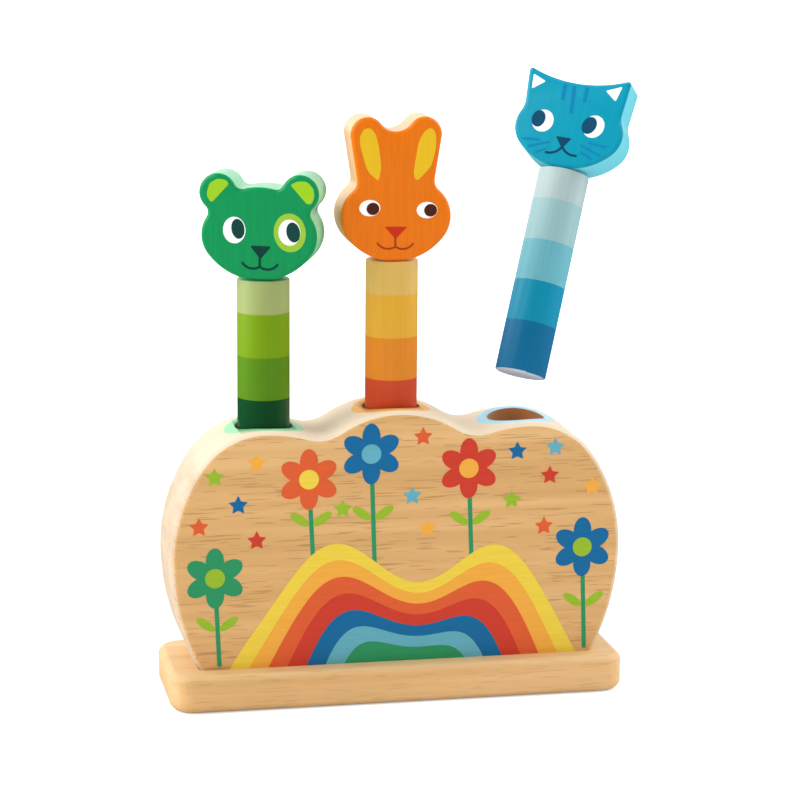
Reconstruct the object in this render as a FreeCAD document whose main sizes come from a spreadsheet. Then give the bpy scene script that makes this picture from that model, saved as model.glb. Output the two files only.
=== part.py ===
import FreeCAD, Part
import math
import os
import Sketcher
from FreeCAD import Placement, Rotation, Vector

doc = FreeCAD.newDocument("pop_up_animals")

# Driving dimensions, in millimetres and degrees.  The origin is the middle of the base's
# underside, X runs along the base, Y from front to back and Z up.
drivingSizes = {
    # base plank
    "baseLength": 177,
    "baseDepth": 54,
    "baseThickness": 14.5,
    "baseCornerRadius": 9,
    "baseChamfer": 2,
    # cloud-shaped block, heights above the base plank
    "blockDepth": 36,
    "footHalfWidth": 77.5,
    "bellyHalfWidth": 87.8,
    "bellyHeight": 42,
    "sideCrest": 51.5,
    "sideHeight": 91.8,
    "sideInnerRadius": 60,
    "shoulderRadius": 30,
    "middleHeight": 98,
    "middleRadius": 42,
    "valleyRadius": 14,
    "blockChamfer": 1.8,
    # bores and what stands in them
    "boreSpacing": 49.5,
    "boreDiameter": 22,
    "dowelDiameter": 20,
    "dowelLength": 81.6,
    "dowelEase": 0.7,
    "dowelInsertion": 25.6,
    # spring, its cap and its staple
    "springLength": 40,
    "springDiameter": 16,
    "springTurns": 5,
    "closedTurns": 1,
    "springRunsPerTurn": 10,
    "springEndGap": 0.1,
    "wireDiameter": 1.4,
    "capThickness": 6,
    "capClearance": 0.5,
    "stapleThickness": 0.8,
    "stapleWidth": 1.2,
    "stapleLegs": 6,
    # heads and the pins that join them to the dowels
    "headThickness": 18,
    "headChamfer": 1,
    "bearHeadWidth": 44.2,
    "bearHeadHeight": 35.3,
    "bearCheekHeight": 17,
    "bearCheekRadius": 12,
    "bearEarRadius": 7.2,
    "bearEarReach": 15.6,
    "bearEarHeight": 33,
    "bearEarHollow": 3,
    "rabbitHeadWidth": 42.4,
    "rabbitHeadHeight": 54.7,
    "rabbitCheekHeight": 17,
    "rabbitCheekRadius": 13,
    "rabbitEarRadius": 6.6,
    "rabbitEarReach": 10.9,
    "rabbitEarHollow": 5,
    "rabbitEarSlantAngle": 9,
    "rabbitEarNotch": 5.5,
    "catHeadWidth": 43.4,
    "catCheekHeight": 15.6,
    "catCheekRadius": 11,
    "catNotchHeight": 25,
    "catNotchHalfWidth": 19.6,
    "catEarHeight": 38.9,
    "catEarHalfWidth": 20.8,
    "catCrownHeight": 34.5,
    "catEarTipRadius": 1.2,
    "neckPinDiameter": 6,
    "neckPinLength": 22,
    "neckPinSlack": 0.5,
    "glueClearance": 0.05,
    # screws that hold the base plank to the block
    "screwDiameter": 4,
    "screwHeadDiameter": 8,
    "screwHeadHeight": 2.4,
    "screwLength": 22,
    "screwSpacing": 60,
    "screwSink": 5,
    "screwClearance": 0.2,
    "pilotSlack": 1,
    # how the figures stand
    "bearTurnAngle": -20,
    "rabbitTurnAngle": -1,
    "catTurnAngle": -28,
    "catLeanAngle": 22.5,
    "catHeadingAngle": 45,
    "catSwingRadius": 104,
}

# What follows from them.
derivedSizes = {
    "boreDepth": "=dowelInsertion + capThickness + springLength",
    "boreRadius": "=boreDiameter / 2",
    "dowelRadius": "=dowelDiameter / 2",
    "dowelEasedRadius": "=dowelRadius - dowelEase",
    "pinHoleRadius": "=neckPinDiameter / 2 + glueClearance",
    "pinHoleDepth": "=neckPinLength / 2 + neckPinSlack",
    "pinHoleFloor": "=dowelLength - pinHoleDepth",
    "pinRadius": "=neckPinDiameter / 2",
    "coilRadius": "=(springDiameter - wireDiameter) / 2",
    "wireRadius": "=wireDiameter / 2",
    "endTurnRise": "=wireDiameter + springEndGap",
    "activeTurns": "=springTurns - 2 * closedTurns",
    "activeRise": "=springLength - wireDiameter - 2 * closedTurns * endTurnRise",
    "stapleHalfSpan": "=wireRadius + glueClearance",
    "stapleOuterHalfSpan": "=stapleHalfSpan + stapleThickness",
    "stapleSeat": "=wireDiameter + endTurnRise * (springRunsPerTurn + 1) / (2 * springRunsPerTurn)"
                  " + glueClearance",
    "stapleCrown": "=stapleSeat + stapleThickness",
    "stapleSlotDepth": "=stapleLegs + glueClearance",
    "capRadius": "=boreRadius - capClearance",
    "screwShankRadius": "=screwDiameter / 2",
    "screwHeadRadius": "=screwHeadDiameter / 2",
    "screwPassRadius": "=screwShankRadius + screwClearance",
    "screwSinkRadius": "=screwHeadRadius + screwClearance",
    "pilotRadius": "=screwShankRadius + glueClearance",
    "pilotDepth": "=screwSink - screwHeadHeight + screwLength - baseThickness + pilotSlack",
}

sheet = doc.addObject("Spreadsheet::Sheet", "sizes")
for row, (name, value) in enumerate({**drivingSizes, **derivedSizes}.items(), start=1):
    sheet.set(f"A{row}", name)
    sheet.set(f"B{row}", str(value))
    sheet.setAlias(f"B{row}", name)
doc.recompute()


def size(name):
    return float(sheet.get(name))


# ---- helpers -------------------------------------------------------------------------

hairline = 1e-4


def newBody(label):
    body = doc.addObject("PartDesign::Body", label)
    body.Label = label
    return body


def newSketch(body, name, role, heightCell=None):
    sketch = body.newObject("Sketcher::SketchObject", name)
    plane = [item for item in body.Origin.OriginFeatures if item.Role == role][0]
    sketch.AttachmentSupport = [(plane, "")]
    sketch.MapMode = "FlatFace"
    if heightCell:
        sketch.setExpression("AttachmentOffset.Base.z", f"sizes.{heightCell}")
    return sketch


def pin(sketch, geometry, point, cells):
    # ties one point of a sketch to the cells that give its two coordinates
    for kind, axis, cell in (("DistanceX", -2, cells[0]), ("DistanceY", -1, cells[1])):
        if cell is None:
            sketch.addConstraint(Sketcher.Constraint("PointOnObject", geometry, point, axis))
        else:
            value = size(cell)
            index = sketch.addConstraint(
                Sketcher.Constraint(kind, -1, 1, geometry, point, value))
            sketch.setExpression(f"Constraints[{index}]", f"sizes.{cell}")


def drawProfile(sketch, corners):
    # a closed outline of straight lines; a corner is a pair of cell names, None on an axis
    points = [Vector(*[size(cell) if cell else 0 for cell in corner], 0) for corner in corners]
    count = len(points)
    for start in range(count):
        sketch.addGeometry(Part.LineSegment(points[start], points[(start + 1) % count]))
    for start in range(count):
        sketch.addConstraint(Sketcher.Constraint("Coincident", start, 2, (start + 1) % count, 1))
        pin(sketch, start, 1, corners[start])


def drawCircle(sketch, radiusCell, acrossCell=None, side=1):
    # a circle on the sketch's level axis, to one side of its middle
    across = side * size(acrossCell) if acrossCell else 0
    circle = Part.Circle(Vector(across, 0, 0), Vector(0, 0, 1), size(radiusCell))
    index = sketch.addGeometry(circle)
    radius = sketch.addConstraint(Sketcher.Constraint("Radius", index, size(radiusCell)))
    sketch.setExpression(f"Constraints[{radius}]", f"sizes.{radiusCell}")
    if side > 0:
        pin(sketch, index, 3, (acrossCell, None))
    else:
        shift = sketch.addConstraint(
            Sketcher.Constraint("DistanceX", index, 3, -1, 1, size(acrossCell)))
        sketch.setExpression(f"Constraints[{shift}]", f"sizes.{acrossCell}")
        sketch.addConstraint(Sketcher.Constraint("PointOnObject", index, 3, -1))


def spin(body, name, corners):
    # a turned piece: a half profile in the XZ plane, spun about Z
    sketch = newSketch(body, name + "_profile", "XZ_Plane")
    drawProfile(sketch, corners)
    turned = body.newObject("PartDesign::Revolution", name)
    turned.Profile = sketch
    turned.ReferenceAxis = (sketch, ["V_Axis"])
    turned.Angle = 360
    body.Tip = turned
    doc.recompute()
    return turned


def pad(body, name, sketch, lengthCell, symmetric=False):
    feature = body.newObject("PartDesign::Pad", name)
    feature.Profile = sketch
    feature.SideType = "Symmetric" if symmetric else "One side"
    feature.setExpression("Length", f"sizes.{lengthCell}")
    body.Tip = feature
    doc.recompute()
    return feature


def pocket(body, name, sketch, lengthCell, upwards=False):
    before = body.Shape.Volume
    feature = body.newObject("PartDesign::Pocket", name)
    feature.Profile = sketch
    feature.Reversed = upwards
    feature.setExpression("Length", f"sizes.{lengthCell}")
    body.Tip = feature
    doc.recompute()
    if body.Shape.Volume >= before:
        raise RuntimeError(f"{name} cuts nothing")
    return feature


def ease(body, name, base, keep, sizeCell, chamfer=False):
    # rounds or chamfers the edges of the last feature that keep() picks
    feature = body.newObject("PartDesign::Chamfer" if chamfer else "PartDesign::Fillet", name)
    picked = [f"Edge{n}" for n, edge in enumerate(base.Shape.Edges, start=1) if keep(edge)]
    feature.Base = (base, picked)
    feature.setExpression("Size" if chamfer else "Radius", f"sizes.{sizeCell}")
    body.Tip = feature
    doc.recompute()
    return feature


def place(item, x, y, z, turn=0):
    item.Placement = Placement(Vector(x, y, z), Rotation(Vector(0, 0, 1), turn))


def lowest(edge):
    return edge.BoundBox.ZMin


def level(edge):
    return edge.BoundBox.ZLength < hairline


def flat(point):
    return Vector(point[0], point[1], 0)


def mirrored(point):
    return (-point[0], point[1])


def onCircle(centre, target, radius):
    # the point of a circle that lies towards the target
    step = (flat(target) - flat(centre)).normalize() * radius
    return (centre[0] + step.x, centre[1] + step.y)


def arcMiddle(centre, radius, start, end):
    # the middle of the shorter arc of a circle between two of its points
    return onCircle(centre, ((start[0] + end[0]) / 2, (start[1] + end[1]) / 2), radius)


def quarterArcs(crown, side, tightRadius):
    # a quarter of an oval in two arcs that touch: level at the crown, upright at the side;
    # the tight arc is the one at the end of the longer half axis
    across = side[0] - crown[0]
    up = crown[1] - side[1]
    sign = 1 if up > 0 else -1
    longAxis = max(across, abs(up))
    shortAxis = min(across, abs(up))
    wideRadius = ((shortAxis ** 2 + (longAxis - tightRadius) ** 2 - tightRadius ** 2)
                  / (2 * (shortAxis - tightRadius)))
    crownRadius = tightRadius if abs(up) > across else wideRadius
    sideRadius = wideRadius if abs(up) > across else tightRadius
    crownCentre = (crown[0], crown[1] - sign * crownRadius)
    sideCentre = (side[0] - sideRadius, side[1])
    if crownRadius > sideRadius:
        meeting = onCircle(crownCentre, sideCentre, crownRadius)
    else:
        meeting = onCircle(sideCentre, crownCentre, sideRadius)
    return crownCentre, crownRadius, sideCentre, sideRadius, meeting


def drawQuarter(sketch, crown, side, tightRadius):
    # both the left and the right quarter
    crownCentre, crownRadius, sideCentre, sideRadius, meeting = quarterArcs(
        crown, side, tightRadius)
    bothSides(drawArc, sketch, crown, arcMiddle(crownCentre, crownRadius, crown, meeting),
              meeting)
    bothSides(drawArc, sketch, meeting, arcMiddle(sideCentre, sideRadius, meeting, side), side)


def hollowCentre(first, firstRadius, second, secondRadius, hollowRadius, side):
    # centre of the arc that touches two circles from outside, on one side of their centre line
    between = flat(second) - flat(first)
    fromFirst = firstRadius + hollowRadius
    fromSecond = secondRadius + hollowRadius
    along = (fromFirst ** 2 - fromSecond ** 2 + between.Length ** 2) / (2 * between.Length)
    direction = between.normalize()
    off = side * math.sqrt(fromFirst ** 2 - along ** 2)
    centre = flat(first) + direction * along + Vector(-direction.y, direction.x, 0) * off
    return (centre.x, centre.y)


def drawArc(sketch, start, middle, end):
    sketch.addGeometry(Part.Arc(flat(start), flat(middle), flat(end)))


def drawLine(sketch, start, end):
    sketch.addGeometry(Part.LineSegment(flat(start), flat(end)))


def bothSides(draw, sketch, *points):
    draw(sketch, *points)
    draw(sketch, *[mirrored(point) for point in points])


def onFrontOrBack(edge):
    return edge.BoundBox.YLength < hairline


def upright(edge):
    # an edge square to the front face, such as where two curves of an outline meet
    box = edge.BoundBox
    return box.XLength < hairline and box.ZLength < hairline


# ---- base plank, with a sunk seat for each screw ---------------------------------------

screwSides = (-1, 1)

basePlank = newBody("base_plank")
plankSketch = newSketch(basePlank, "plank_outline", "XY_Plane")
halfLength = size("baseLength") / 2
halfDepth = size("baseDepth") / 2
plankCorners = [(-halfLength, -halfDepth), (halfLength, -halfDepth),
                (halfLength, halfDepth), (-halfLength, halfDepth)]
for start in range(4):
    drawLine(plankSketch, plankCorners[start], plankCorners[(start + 1) % 4])
for start in range(4):
    plankSketch.addConstraint(
        Sketcher.Constraint("Coincident", start, 2, (start + 1) % 4, 1))
    kind = "Horizontal" if start % 2 == 0 else "Vertical"
    plankSketch.addConstraint(Sketcher.Constraint(kind, start))
plankSketch.addConstraint(Sketcher.Constraint("Symmetric", 0, 1, 2, 1, -1, 1))
for side, cell in ((0, "baseLength"), (1, "baseDepth")):
    index = plankSketch.addConstraint(Sketcher.Constraint("Distance", side, size(cell)))
    plankSketch.setExpression(f"Constraints[{index}]", f"sizes.{cell}")
plank = pad(basePlank, "plank", plankSketch, "baseThickness")
cornersRounded = ease(basePlank, "plank_corners", plank,
                      lambda edge: not level(edge), "baseCornerRadius")
ease(basePlank, "plank_edges", cornersRounded, level, "baseChamfer", chamfer=True)
for side in screwSides:
    seatSketch = newSketch(basePlank, f"screw_seat_profile_{side + 2}", "XZ_Plane")
    seatSketch.setExpression("AttachmentOffset.Base.x", f"sizes.screwSpacing * {side}")
    drawProfile(seatSketch, [
        (None, None), ("screwSinkRadius", None), ("screwSinkRadius", "screwSink"),
        ("screwPassRadius", "screwSink"), ("screwPassRadius", "baseThickness"),
        (None, "baseThickness")])
    seat = basePlank.newObject("PartDesign::Groove", f"screw_seat_{side + 2}")
    seat.Profile = seatSketch
    seat.ReferenceAxis = (seatSketch, ["V_Axis"])
    seat.Angle = 360
    basePlank.Tip = seat
doc.recompute()


# ---- cloud-shaped block with three blind bores -----------------------------------------

blockFloor = size("baseThickness")
figures = ("bear", "rabbit", "cat")
boreSide = {"bear": -1, "rabbit": 0, "cat": 1}
mouthCell = {"bear": "sideHeight", "rabbit": "middleHeight", "cat": "sideHeight"}

foot = (size("footHalfWidth"), 0)
belly = (size("bellyHalfWidth"), size("bellyHeight"))
crest = (size("sideCrest"), size("sideHeight"))
summit = (0, size("middleHeight"))
middleRadius = size("middleRadius")
sideRadius = size("sideInnerRadius")
valleyRadius = size("valleyRadius")
middleCentre = (0, summit[1] - middleRadius)
sideCentre = (crest[0], crest[1] - sideRadius)
valleyCentre = hollowCentre(middleCentre, middleRadius, sideCentre, sideRadius, valleyRadius, 1)
lobeEnd = onCircle(middleCentre, valleyCentre, middleRadius)
sideStart = onCircle(sideCentre, valleyCentre, sideRadius)
valleyBottom = (valleyCentre[0], valleyCentre[1] - valleyRadius)
sideMiddle = arcMiddle(sideCentre, sideRadius, sideStart, crest)
# the flank is upright at the belly and falls in one arc to the foot
tuck = belly[0] - foot[0]
flankRadius = (tuck ** 2 + belly[1] ** 2) / (2 * tuck)
flankMiddle = arcMiddle((belly[0] - flankRadius, belly[1]), flankRadius, belly, foot)


playBlock = newBody("play_block")
cloud = newSketch(playBlock, "cloud_outline", "XZ_Plane")
drawArc(cloud, mirrored(lobeEnd), summit, lobeEnd)
bothSides(drawArc, cloud, lobeEnd, valleyBottom, sideStart)
bothSides(drawArc, cloud, sideStart, sideMiddle, crest)
drawQuarter(cloud, crest, belly, size("shoulderRadius"))
bothSides(drawArc, cloud, belly, flankMiddle, foot)
drawLine(cloud, foot, mirrored(foot))
cloudPad = pad(playBlock, "cloud", cloud, "blockDepth", symmetric=True)
ease(playBlock, "cloud_edges", cloudPad,
     lambda edge: onFrontOrBack(edge) and edge.BoundBox.ZMax > hairline, "blockChamfer",
     chamfer=True)
for figure in figures:
    mouthSketch = newSketch(playBlock, figure + "_mouth", "XY_Plane", mouthCell[figure])
    acrossCell = "boreSpacing" if boreSide[figure] else None
    drawCircle(mouthSketch, "boreRadius", acrossCell, boreSide[figure] or 1)
    pocket(playBlock, figure + "_bore", mouthSketch, "boreDepth")
pilotSketch = newSketch(playBlock, "pilot_holes", "XY_Plane")
for side in screwSides:
    drawCircle(pilotSketch, "pilotRadius", "screwSpacing", side)
pocket(playBlock, "pilots", pilotSketch, "pilotDepth", upwards=True)


def wireReach():
    # from the bore's axis to the wire in the middle of one of the coil's straight runs
    return size("coilRadius") * math.cos(math.pi / size("springRunsPerTurn"))


def boreFloors():
    # centre of each bore's floor, above the base plank
    for name in figures:
        height = size(mouthCell[name]) - size("boreDepth")
        yield name, boreSide[name] * size("boreSpacing"), height


for name, across, height in boreFloors():
    slotSketch = newSketch(playBlock, name + "_staple_slots", "XY_Plane")
    slotSketch.setExpression("AttachmentOffset.Base.z",
                             f"sizes.{mouthCell[name]} - sizes.boreDepth")
    slotHalfWidth = size("stapleWidth") / 2 + size("glueClearance")
    for side in (-1, 1):
        near = -wireReach() + side * size("stapleHalfSpan")
        far = near + side * (size("stapleThickness") + size("glueClearance"))
        near -= side * size("glueClearance") / 2
        slotCorners = [(across - slotHalfWidth, near), (across + slotHalfWidth, near),
                       (across + slotHalfWidth, far), (across - slotHalfWidth, far)]
        for start in range(4):
            drawLine(slotSketch, slotCorners[start], slotCorners[(start + 1) % 4])
    pocket(playBlock, name + "_slots", slotSketch, "stapleSlotDepth")
place(playBlock, 0, 0, blockFloor)


# ---- springs, their caps and the staples that hold them down ---------------------------

def coilHeight(turn):
    # height of the wire's centre: the turns at either end lie closed on their neighbours
    active = size("activeTurns")
    climbed = min(max(turn - size("closedTurns"), 0), active)
    return (size("wireRadius") + (turn - climbed) * size("endTurnRise")
            + climbed / active * size("activeRise"))


wireSides = 6


def makeSpring(label):
    # wire of hexagonal section, swept round the coil in short straight runs; it starts at the
    # back of the bore, so that a run of the closed turn lies under the staple at the front
    runsPerTurn = round(size("springRunsPerTurn"))
    firstAngle = math.pi / 2 - math.pi / runsPerTurn
    points = []
    for step in range(round(runsPerTurn * size("springTurns")) + 1):
        angle = firstAngle + 2 * math.pi * step / runsPerTurn
        points.append(Vector(math.cos(angle) * size("coilRadius"),
                             math.sin(angle) * size("coilRadius"),
                             coilHeight(step / runsPerTurn)))
    heading = points[1] - points[0]
    section = []
    for corner in range(wireSides + 1):
        turned = Rotation(heading, 360 / wireSides * corner)
        section.append(points[0] + turned.multVec(Vector(0, 0, size("wireRadius"))))
    sweep = Part.BRepOffsetAPI.MakePipeShell(Part.makePolygon(points))
    sweep.setTransitionMode(1)
    sweep.add(Part.makePolygon(section), False, False)
    sweep.build()
    sweep.makeSolid()
    spring = doc.addObject("Part::Feature", label)
    spring.Label = label
    spring.Shape = sweep.shape()
    return spring


def makeCap(label):
    body = newBody(label)
    spin(body, label + "_turned", [
        (None, None), ("capRadius", None), ("capRadius", "capThickness"),
        (None, "capThickness")])
    return body


def makeStaple(label):
    # a flat-wire staple that straddles the bottom coil, legs down
    body = newBody(label)
    sketch = newSketch(body, label + "_outline", "YZ_Plane")
    outer = size("stapleOuterHalfSpan")
    inner = size("stapleHalfSpan")
    crown = size("stapleCrown")
    seat = size("stapleSeat")
    tip = -size("stapleLegs")
    corners = [(-outer, tip), (-inner, tip), (-inner, seat), (inner, seat),
               (inner, tip), (outer, tip), (outer, crown), (-outer, crown)]
    for start in range(len(corners)):
        drawLine(sketch, corners[start], corners[(start + 1) % len(corners)])
    pad(body, label + "_bent", sketch, "stapleWidth", symmetric=True)
    return body


# ---- dowels, neck pins and heads --------------------------------------------------------

def makeDowel(label):
    body = newBody(label)
    spin(body, label + "_turned", [
        (None, None), ("dowelEasedRadius", None), ("dowelRadius", "dowelEase"),
        ("dowelRadius", "dowelLength"), ("pinHoleRadius", "dowelLength"),
        ("pinHoleRadius", "pinHoleFloor"),
        (None, "pinHoleFloor")])
    return body


def makeNeckPin(label):
    body = newBody(label)
    spin(body, label + "_turned", [
        (None, None), ("pinRadius", None), ("pinRadius", "neckPinLength"),
        (None, "neckPinLength")])
    return body


def drawBearFace(sketch):
    cheek = (size("bearHeadWidth") / 2, size("bearCheekHeight"))
    crown = (0, size("bearHeadHeight"))
    crownCentre, crownRadius, cheekCentre, cheekRadius, meeting = quarterArcs(
        crown, cheek, size("bearCheekRadius"))
    ear = (size("bearEarReach"), size("bearEarHeight"))
    earRadius = size("bearEarRadius")
    hollowRadius = size("bearEarHollow")
    # each ear is a disc that runs into the crown with a hollow on either side
    outer, inner = [hollowCentre(crownCentre, crownRadius, ear, earRadius, hollowRadius, side)
                    for side in (-1, 1)]
    outerStart = onCircle(crownCentre, outer, crownRadius)
    earStart = onCircle(ear, outer, earRadius)
    earEnd = onCircle(ear, inner, earRadius)
    innerEnd = onCircle(crownCentre, inner, crownRadius)
    earTop = (ear[0], ear[1] + earRadius)
    drawQuarter(sketch, (0, 0), cheek, size("bearCheekRadius"))
    for centre, radius, start, end in (
            (cheekCentre, cheekRadius, cheek, meeting),
            (crownCentre, crownRadius, meeting, outerStart),
            (outer, hollowRadius, outerStart, earStart),
            (inner, hollowRadius, earEnd, innerEnd)):
        bothSides(drawArc, sketch, start, arcMiddle(centre, radius, start, end), end)
    bothSides(drawArc, sketch, earStart, earTop, earEnd)
    drawArc(sketch, innerEnd, crown, mirrored(innerEnd))


def drawRabbitFace(sketch):
    cheek = (size("rabbitHeadWidth") / 2, size("rabbitCheekHeight"))
    cheekRadius = size("rabbitCheekRadius")
    cheekCentre = (cheek[0] - cheekRadius, cheek[1])
    earRadius = size("rabbitEarRadius")
    ear = (size("rabbitEarReach"), size("rabbitHeadHeight") - earRadius)
    hollowRadius = size("rabbitEarHollow")
    # the ear's outer side is straight and leans out; a small hollow joins it to the cheek
    slant = math.radians(size("rabbitEarSlantAngle"))
    outwards = Vector(math.cos(slant), -math.sin(slant), 0)
    down = Vector(-math.sin(slant), -math.cos(slant), 0)
    earStart = flat(ear) + outwards * earRadius
    reach = earStart + outwards * hollowRadius - flat(cheekCentre)
    along = reach.dot(down)
    sideLength = -along - math.sqrt(along ** 2 - reach.Length ** 2
                                    + (cheekRadius + hollowRadius) ** 2)
    hollowTop = earStart + down * sideLength
    hollow = hollowTop + outwards * hollowRadius
    cheekEnd = onCircle(cheekCentre, hollow, cheekRadius)
    # the notch between the ears is an arc that touches both
    dip = size("rabbitHeadHeight") - size("rabbitEarNotch")
    drop = dip - ear[1]
    notchRadius = ((ear[0] ** 2 + drop ** 2 - earRadius ** 2) / (2 * (earRadius - drop)))
    notchCentre = (0, dip + notchRadius)
    earEnd = onCircle(ear, notchCentre, earRadius)
    earTop = (ear[0], ear[1] + earRadius)
    drawQuarter(sketch, (0, 0), cheek, cheekRadius)
    cheekMiddle = arcMiddle(cheekCentre, cheekRadius, cheek, cheekEnd)
    hollowMiddle = arcMiddle(hollow, hollowRadius, cheekEnd, hollowTop)
    bothSides(drawArc, sketch, cheek, cheekMiddle, cheekEnd)
    bothSides(drawArc, sketch, cheekEnd, hollowMiddle, hollowTop)
    bothSides(drawLine, sketch, hollowTop, earStart)
    bothSides(drawArc, sketch, earStart, earTop, earEnd)
    drawArc(sketch, earEnd, (0, dip), mirrored(earEnd))


def drawCatFace(sketch):
    cheek = (size("catHeadWidth") / 2, size("catCheekHeight"))
    cheekRadius = size("catCheekRadius")
    cheekCentre = (cheek[0] - cheekRadius, cheek[1])
    notch = (size("catNotchHalfWidth"), size("catNotchHeight"))
    tip = (size("catEarHalfWidth"), size("catEarHeight"))
    # the hollow between cheek and ear is an arc that touches the cheek and the ear's side
    earSide = (flat(tip) - flat(notch)).normalize()
    outwards = Vector(earSide.y, -earSide.x, 0)
    reach = flat(notch) - flat(cheekCentre)
    hollowRadius = ((reach.Length ** 2 - cheekRadius ** 2)
                    / (2 * (cheekRadius - reach.dot(outwards))))
    hollow = flat(notch) + outwards * hollowRadius
    cheekEnd = onCircle(cheekCentre, hollow, cheekRadius)
    cheekMiddle = arcMiddle(cheekCentre, cheekRadius, cheek, cheekEnd)
    hollowMiddle = arcMiddle(hollow, hollowRadius, cheekEnd, notch)
    drawQuarter(sketch, (0, 0), cheek, cheekRadius)
    bothSides(drawArc, sketch, cheek, cheekMiddle, cheekEnd)
    bothSides(drawArc, sketch, cheekEnd, hollowMiddle, notch)
    bothSides(drawLine, sketch, notch, tip)
    drawArc(sketch, mirrored(tip), (0, size("catCrownHeight")), tip)


def makeHead(label, drawFace):
    body = newBody(label)
    sketch = newSketch(body, label + "_outline", "XZ_Plane")
    drawFace(sketch)
    plaque = pad(body, label + "_plaque", sketch, "headThickness", symmetric=True)
    if drawFace is drawCatFace:
        plaque = ease(body, label + "_ear_tips", plaque,
                      lambda edge: upright(edge) and lowest(edge) > size("catCrownHeight"),
                      "catEarTipRadius")
    ease(body, label + "_edges", plaque, onFrontOrBack, "headChamfer", chamfer=True)
    holeSketch = newSketch(body, label + "_pin_hole", "XY_Plane")
    drawCircle(holeSketch, "pinHoleRadius")
    pocket(body, label + "_hole", holeSketch, "pinHoleDepth", upwards=True)
    return body


# ---- screws -----------------------------------------------------------------------------

def makeScrew(label):
    body = newBody(label)
    spin(body, label + "_turned", [
        (None, None), ("screwHeadRadius", None), ("screwHeadRadius", "screwHeadHeight"),
        ("screwShankRadius", "screwHeadHeight"), ("screwShankRadius", "screwLength"),
        (None, "screwLength")])
    return body


def group(label, members):
    compound = doc.addObject("Part::Compound", label)
    compound.Label = label
    compound.Links = members
    return compound


baseScrews = []
for side in screwSides:
    screw = makeScrew(f"base_screw_{side + 2}")
    place(screw, side * size("screwSpacing"), 0,
          size("screwSink") - size("screwHeadHeight") - size("glueClearance"))
    baseScrews.append(screw)

springStaples = []
for name, across, height in boreFloors():
    staple = makeStaple(name + "_spring_staple")
    place(staple, across, -wireReach(), blockFloor + height)
    springStaples.append(staple)


# ---- the three figures, each on its spring ------------------------------------------------

faces = {"bear": drawBearFace, "rabbit": drawRabbitFace, "cat": drawCatFace}

# The cat is drawn sprung out of its bore: it has swung up about a far pivot, level with
# the middle of the seated dowel's stretch in the bore, and leans towards that pivot.
heading = math.radians(size("catHeadingAngle"))
towardsPivot = Vector(math.cos(heading), math.sin(heading), 0)
swingAxis = Vector(-math.sin(heading), math.cos(heading), 0)
catMouth = Vector(size("boreSpacing"), 0, blockFloor + size("sideHeight"))
swingPivot = (catMouth - Vector(0, 0, size("dowelInsertion") / 2)
              + towardsPivot * size("catSwingRadius"))
poppedOut = Placement(Vector(), Rotation(swingAxis, size("catLeanAngle")), swingPivot)

nodes = [basePlank, playBlock, group("base_screws", baseScrews),
         group("spring_staples", springStaples)]
for name, across, floorHeight in boreFloors():
    floor = blockFloor + floorHeight
    capSeat = floor + size("springLength")
    dowelSeat = capSeat + size("capThickness")
    spring = makeSpring(name + "_spring")
    cap = makeCap(name + "_spring_cap")
    dowel = makeDowel(name + "_dowel")
    neckPin = makeNeckPin(name + "_neck_pin")
    head = makeHead(name + "_head", faces[name])
    turn = size(name + "TurnAngle")
    place(spring, across, 0, floor)
    place(cap, across, 0, capSeat)
    place(dowel, across, 0, dowelSeat, turn)
    place(neckPin, across, 0, dowelSeat + size("pinHoleFloor") + size("neckPinSlack"), turn)
    place(head, across, 0, dowelSeat + size("dowelLength"), turn)
    if name == "cat":
        for piece in (dowel, neckPin, head):
            piece.Placement = poppedOut * piece.Placement
    nodes += [spring, cap, dowel, neckPin, head]


# ---- check and write ------------------------------------------------------------------------

doc.recompute()
for item in doc.Objects:
    if "Invalid" in item.State or "Error" in item.State:
        raise RuntimeError(f"{item.Label} failed: {item.State}")
for node in nodes:
    if node.Shape.isNull() or not node.Shape.isValid():
        raise RuntimeError(f"{node.Label} has no valid shape")

os.makedirs("parts", exist_ok=True)
for node in nodes:
    node.Shape.exportStep(f"parts/{node.Label}.step")
    print(node.Label, round(node.Shape.Volume, 1), len(node.Shape.Solids))
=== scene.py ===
import bmesh
import bpy
import math
from mathutils import Matrix, Vector


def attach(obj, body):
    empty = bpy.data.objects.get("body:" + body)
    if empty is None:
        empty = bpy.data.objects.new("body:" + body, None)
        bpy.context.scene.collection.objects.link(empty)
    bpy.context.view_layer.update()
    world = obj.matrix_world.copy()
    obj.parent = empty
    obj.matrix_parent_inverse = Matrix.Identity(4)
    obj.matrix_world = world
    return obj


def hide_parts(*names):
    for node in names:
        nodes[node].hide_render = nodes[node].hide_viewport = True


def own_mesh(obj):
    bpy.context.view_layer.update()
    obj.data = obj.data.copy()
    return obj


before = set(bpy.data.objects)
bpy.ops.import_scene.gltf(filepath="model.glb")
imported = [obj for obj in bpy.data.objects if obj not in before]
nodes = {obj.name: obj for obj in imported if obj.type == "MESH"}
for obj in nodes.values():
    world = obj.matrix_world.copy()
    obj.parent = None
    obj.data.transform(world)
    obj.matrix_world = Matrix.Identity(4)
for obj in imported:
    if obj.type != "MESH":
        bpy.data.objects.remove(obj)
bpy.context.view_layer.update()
mm = 0.001


def colour(red, green, blue):
    # a screen colour, 0 to 255, as the linear one that a shader wants
    channels = [channel / 255 for channel in (red, green, blue)]
    return (*[c / 12.92 if c < 0.04 else ((c + 0.055) / 1.055) ** 2.4 for c in channels], 1.0)


def scaled(shade, factor):
    return (*[min(channel * factor, 1.0) for channel in shade[:3]], 1.0)


black, white = (0, 0, 0, 1), (1, 1, 1, 1)


def put(tree, socket, value):
    if isinstance(value, bpy.types.NodeSocket):
        tree.links.new(value, socket)
    else:
        socket.default_value = value


def addNode(tree, kind, **settings):
    node = tree.nodes.new("ShaderNode" + kind)
    for name, value in settings.items():
        setattr(node, name, value)
    return node


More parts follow.
